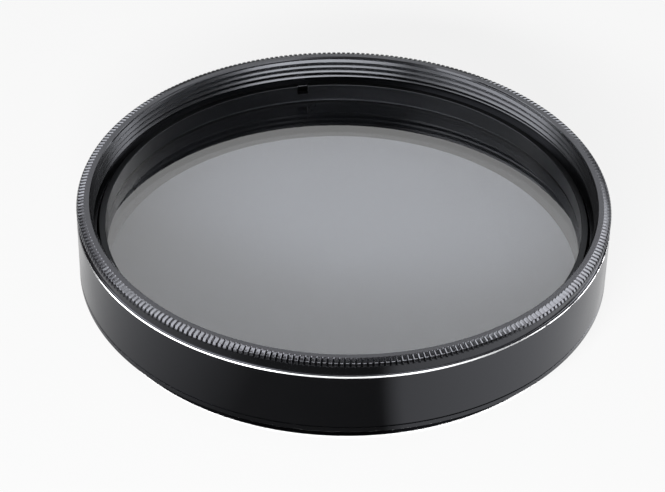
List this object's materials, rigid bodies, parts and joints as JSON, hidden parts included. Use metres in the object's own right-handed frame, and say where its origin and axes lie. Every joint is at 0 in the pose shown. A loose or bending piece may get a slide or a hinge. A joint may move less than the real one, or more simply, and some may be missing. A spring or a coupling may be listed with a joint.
{
  "type": "telescope moon filter",
  "caption": "Round neutral grey glass filter in a black knurled screw cell, held by a slotted ring, with a male thread below and a female thread above.",
  "frame": {"origin": "centre of the male thread's end face, which is the lowest face", "axes": "+Z along the thread axis, from the male thread up to the knurled rim; the first key slot of the ring lies near +Y"},
  "size_m": [0.0504, 0.0504, 0.0095],
  "materials": {
    "cell_black": "turned, black anodised, semi-gloss, with a bright cut chamfer",
    "ring_black": "turned, black anodised, satin",
    "grey_glass": "polished neutral grey, ground edge"
  },
  "bodies": {
    "root": {"filter_cell": "cell_black", "retaining_ring": "ring_black", "filter_glass": "grey_glass"}
  },
  "joints": []
}
